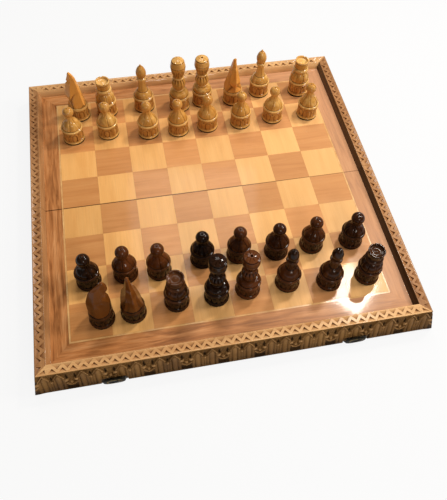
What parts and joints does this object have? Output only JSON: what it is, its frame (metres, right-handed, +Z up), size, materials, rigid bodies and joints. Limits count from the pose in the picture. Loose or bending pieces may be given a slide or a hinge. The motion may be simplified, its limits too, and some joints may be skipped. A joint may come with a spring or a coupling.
{
  "type": "folding chess set",
  "caption": "Folding carved wooden chess box, open as a board with a raised rim, with two turned and carved sets standing on it, hook latches and a centre hinge.",
  "frame": {"origin": "on the table, under the middle of the fold line: the bottom centre of the open box", "axes": "+X to the right as the dark side's player sits, along the fold line; +Y away from the latches, towards the light set; +Z up"},
  "size_m": [0.477, 0.4824, 0.113],
  "materials": {
    "maple_squares": "lacquered pale maple veneer, gloss",
    "cherry_squares": "lacquered cherry veneer, gloss",
    "stringing": "lacquered pale line",
    "walnut_border": "lacquered walnut veneer, gloss",
    "plywood": "plain plywood, satin",
    "rail_wood": "stained and carved beech, satin lacquer",
    "hinge_brass": "plain brass",
    "latch_metal": "darkened brass",
    "light_pieces": "honey lacquer, gloss",
    "dark_pieces": "dark brown lacquer, gloss"
  },
  "bodies": {
    "near_half": {"near_border": "walnut_border", "near_dark_squares": "cherry_squares", "near_front_rail": "rail_wood", "near_hinge_rail": "rail_wood", "near_left_rail": "rail_wood", "near_light_squares": "maple_squares", "near_panel": "plywood", "near_right_rail": "rail_wood", "near_stringing": "stringing", "hinge_leaves_near": "hinge_brass", "hinge_pins": "hinge_brass", "hinge_screws_near": "hinge_brass", "latch_plates": "latch_metal", "latch_pivots": "latch_metal"},
    "far_half": {"far_back_rail": "rail_wood", "far_border": "walnut_border", "far_dark_squares": "cherry_squares", "far_hinge_rail": "rail_wood", "far_left_rail": "rail_wood", "far_light_squares": "maple_squares", "far_panel": "plywood", "far_right_rail": "rail_wood", "far_stringing": "stringing", "hinge_leaves_far": "hinge_brass", "hinge_screws_far": "hinge_brass", "catch_studs": "latch_metal"},
    "latch_hook_left": {"latch_hook_left": "latch_metal"},
    "latch_hook_right": {"latch_hook_right": "latch_metal"},
    "light_bishop_left": {"light_bishop_left": "light_pieces"},
    "light_bishop_right": {"light_bishop_right": "light_pieces"},
    "light_king": {"light_king": "light_pieces"},
    "light_knight_left": {"light_knight_left": "light_pieces"},
    "light_knight_right": {"light_knight_right": "light_pieces"},
    "light_pawn_1": {"light_pawn_1": "light_pieces"},
    "light_pawn_2": {"light_pawn_2": "light_pieces"},
    "light_pawn_3": {"light_pawn_3": "light_pieces"},
    "light_pawn_4": {"light_pawn_4": "light_pieces"},
    "light_pawn_5": {"light_pawn_5": "light_pieces"},
    "light_pawn_6": {"light_pawn_6": "light_pieces"},
    "light_pawn_7": {"light_pawn_7": "light_pieces"},
    "light_pawn_8": {"light_pawn_8": "light_pieces"},
    "light_queen": {"light_queen": "light_pieces"},
    "light_rook_left": {"light_rook_left": "light_pieces"},
    "light_rook_right": {"light_rook_right": "light_pieces"},
    "dark_bishop_left": {"dark_bishop_left": "dark_pieces"},
    "dark_bishop_right": {"dark_bishop_right": "dark_pieces"},
    "dark_king": {"dark_king": "dark_pieces"},
    "dark_knight_left": {"dark_knight_left": "dark_pieces"},
    "dark_knight_right": {"dark_knight_right": "dark_pieces"},
    "dark_pawn_1": {"dark_pawn_1": "dark_pieces"},
    "dark_pawn_2": {"dark_pawn_2": "dark_pieces"},
    "dark_pawn_3": {"dark_pawn_3": "dark_pieces"},
    "dark_pawn_4": {"dark_pawn_4": "dark_pieces"},
    "dark_pawn_5": {"dark_pawn_5": "dark_pieces"},
    "dark_pawn_6": {"dark_pawn_6": "dark_pieces"},
    "dark_pawn_7": {"dark_pawn_7": "dark_pieces"},
    "dark_pawn_8": {"dark_pawn_8": "dark_pieces"},
    "dark_queen": {"dark_queen": "dark_pieces"},
    "dark_rook_left": {"dark_rook_left": "dark_pieces"},
    "dark_rook_right": {"dark_rook_right": "dark_pieces"}
  },
  "joints": [
    {"name": "board_fold", "type": "hinge", "parent": "near_half", "child": "far_half", "pos_m": [0, 0, 0.0018], "axis": [-1, 0, 0], "range_deg": [0, 180]},
    {"name": "latch_hook_left_swing", "type": "hinge", "parent": "near_half", "child": "latch_hook_left", "pos_m": [-0.144, -0.23825, 0.0068], "axis": [0, -1, 0], "range_deg": [-60, 90]},
    {"name": "latch_hook_right_swing", "type": "hinge", "parent": "near_half", "child": "latch_hook_right", "pos_m": [0.144, -0.23825, 0.0068], "axis": [0, -1, 0], "range_deg": [-60, 90]},
    {"name": "dark_bishop_left_lift", "type": "slide", "parent": "near_half", "child": "dark_bishop_left", "axis": [0, 0, 1], "range_m": [0, 0.1]},
    {"name": "dark_bishop_right_lift", "type": "slide", "parent": "near_half", "child": "dark_bishop_right", "axis": [0, 0, 1], "range_m": [0, 0.1]},
    {"name": "dark_king_lift", "type": "slide", "parent": "near_half", "child": "dark_king", "axis": [0, 0, 1], "range_m": [0, 0.1]},
    {"name": "dark_knight_left_lift", "type": "slide", "parent": "near_half", "child": "dark_knight_left", "axis": [0, 0, 1], "range_m": [0, 0.1]},
    {"name": "dark_knight_right_lift", "type": "slide", "parent": "near_half", "child": "dark_knight_right", "axis": [0, 0, 1], "range_m": [0, 0.1]},
    {"name": "dark_pawn_1_lift", "type": "slide", "parent": "near_half", "child": "dark_pawn_1", "axis": [0, 0, 1], "range_m": [0, 0.1]},
    {"name": "dark_pawn_2_lift", "type": "slide", "parent": "near_half", "child": "dark_pawn_2", "axis": [0, 0, 1], "range_m": [0, 0.1]},
    {"name": "dark_pawn_3_lift", "type": "slide", "parent": "near_half", "child": "dark_pawn_3", "axis": [0, 0, 1], "range_m": [0, 0.1]},
    {"name": "dark_pawn_4_lift", "type": "slide", "parent": "near_half", "child": "dark_pawn_4", "axis": [0, 0, 1], "range_m": [0, 0.1]},
    {"name": "dark_pawn_5_lift", "type": "slide", "parent": "near_half", "child": "dark_pawn_5", "axis": [0, 0, 1], "range_m": [0, 0.1]},
    {"name": "dark_pawn_6_lift", "type": "slide", "parent": "near_half", "child": "dark_pawn_6", "axis": [0, 0, 1], "range_m": [0, 0.1]},
    {"name": "dark_pawn_7_lift", "type": "slide", "parent": "near_half", "child": "dark_pawn_7", "axis": [0, 0, 1], "range_m": [0, 0.1]},
    {"name": "dark_pawn_8_lift", "type": "slide", "parent": "near_half", "child": "dark_pawn_8", "axis": [0, 0, 1], "range_m": [0, 0.1]},
    {"name": "dark_queen_lift", "type": "slide", "parent": "near_half", "child": "dark_queen", "axis": [0, 0, 1], "range_m": [0, 0.1]},
    {"name": "dark_rook_left_lift", "type": "slide", "parent": "near_half", "child": "dark_rook_left", "axis": [0, 0, 1], "range_m": [0, 0.1]},
    {"name": "dark_rook_right_lift", "type": "slide", "parent": "near_half", "child": "dark_rook_right", "axis": [0, 0, 1], "range_m": [0, 0.1]},
    {"name": "light_bishop_left_lift", "type": "slide", "parent": "far_half", "child": "light_bishop_left", "axis": [0, 0, 1], "range_m": [0, 0.1]},
    {"name": "light_bishop_right_lift", "type": "slide", "parent": "far_half", "child": "light_bishop_right", "axis": [0, 0, 1], "range_m": [0, 0.1]},
    {"name": "light_king_lift", "type": "slide", "parent": "far_half", "child": "light_king", "axis": [0, 0, 1], "range_m": [0, 0.1]},
    {"name": "light_knight_left_lift", "type": "slide", "parent": "far_half", "child": "light_knight_left", "axis": [0, 0, 1], "range_m": [0, 0.1]},
    {"name": "light_knight_right_lift", "type": "slide", "parent": "far_half", "child": "light_knight_right", "axis": [0, 0, 1], "range_m": [0, 0.1]},
    {"name": "light_pawn_1_lift", "type": "slide", "parent": "far_half", "child": "light_pawn_1", "axis": [0, 0, 1], "range_m": [0, 0.1]},
    {"name": "light_pawn_2_lift", "type": "slide", "parent": "far_half", "child": "light_pawn_2", "axis": [0, 0, 1], "range_m": [0, 0.1]},
    {"name": "light_pawn_3_lift", "type": "slide", "parent": "far_half", "child": "light_pawn_3", "axis": [0, 0, 1], "range_m": [0, 0.1]},
    {"name": "light_pawn_4_lift", "type": "slide", "parent": "far_half", "child": "light_pawn_4", "axis": [0, 0, 1], "range_m": [0, 0.1]},
    {"name": "light_pawn_5_lift", "type": "slide", "parent": "far_half", "child": "light_pawn_5", "axis": [0, 0, 1], "range_m": [0, 0.1]},
    {"name": "light_pawn_6_lift", "type": "slide", "parent": "far_half", "child": "light_pawn_6", "axis": [0, 0, 1], "range_m": [0, 0.1]},
    {"name": "light_pawn_7_lift", "type": "slide", "parent": "far_half", "child": "light_pawn_7", "axis": [0, 0, 1], "range_m": [0, 0.1]},
    {"name": "light_pawn_8_lift", "type": "slide", "parent": "far_half", "child": "light_pawn_8", "axis": [0, 0, 1], "range_m": [0, 0.1]},
    {"name": "light_queen_lift", "type": "slide", "parent": "far_half", "child": "light_queen", "axis": [0, 0, 1], "range_m": [0, 0.1]},
    {"name": "light_rook_left_lift", "type": "slide", "parent": "far_half", "child": "light_rook_left", "axis": [0, 0, 1], "range_m": [0, 0.1]},
    {"name": "light_rook_right_lift", "type": "slide", "parent": "far_half", "child": "light_rook_right", "axis": [0, 0, 1], "range_m": [0, 0.1]}
  ]
}
